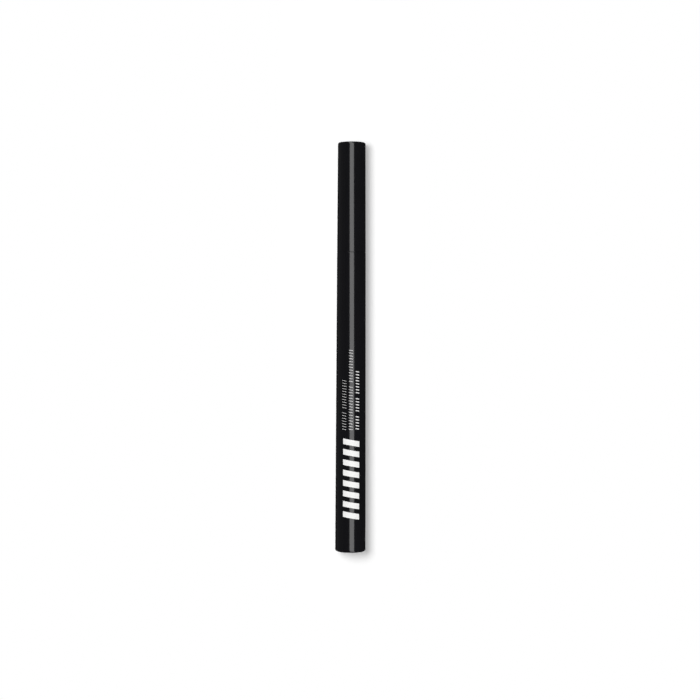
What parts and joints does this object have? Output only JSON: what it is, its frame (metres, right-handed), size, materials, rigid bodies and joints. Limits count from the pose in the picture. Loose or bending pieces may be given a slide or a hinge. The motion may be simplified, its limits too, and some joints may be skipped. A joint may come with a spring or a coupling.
{
  "type": "liquid eyeliner pen",
  "caption": "Slim gloss black liquid eyeliner pen with a push-on cap, fine brush tip, finned ink collector and a tank with a loose mixing ball.",
  "frame": {"origin": "centre of the tail face, on which the pen stands", "axes": "+Z along the pen's axis from the tail to the cap's closed top; the pen is round, so +X only marks the side of the nozzle's air hole"},
  "size_m": [0.0102, 0.0102, 0.137],
  "materials": {
    "gloss_black_barrel": "polished moulded, high gloss",
    "gloss_black_cap": "polished moulded, high gloss",
    "black_plug": "fine satin, moulded",
    "satin_black_neck": "satin, moulded",
    "natural_collector": "satin, moulded",
    "bonded_fibre": "bonded fibre",
    "black_collar": "satin, moulded",
    "brush_filament": "fine tapered filament",
    "natural_seal": "satin, moulded, slightly waxy",
    "bright_steel": "ground and polished"
  },
  "bodies": {
    "barrel_body": {"barrel": "gloss_black_barrel", "tail_plug": "black_plug", "front_section": "satin_black_neck", "ink_collector": "natural_collector", "feed_core": "bonded_fibre", "brush_collar": "black_collar", "brush_bristles": "brush_filament"},
    "cap": {"cap_shell": "gloss_black_cap", "cap_inner_seal": "natural_seal"},
    "ball": {"mixing_ball": "bright_steel"}
  },
  "joints": [
    {"name": "cap_slide", "type": "slide", "parent": "barrel_body", "child": "cap", "axis": [0, 0, 1], "range_m": [0, 0.04]},
    {"name": "ball_slide", "type": "slide", "parent": "barrel_body", "child": "ball", "axis": [0, 0, 1], "range_m": [0, 0.0524]}
  ]
}
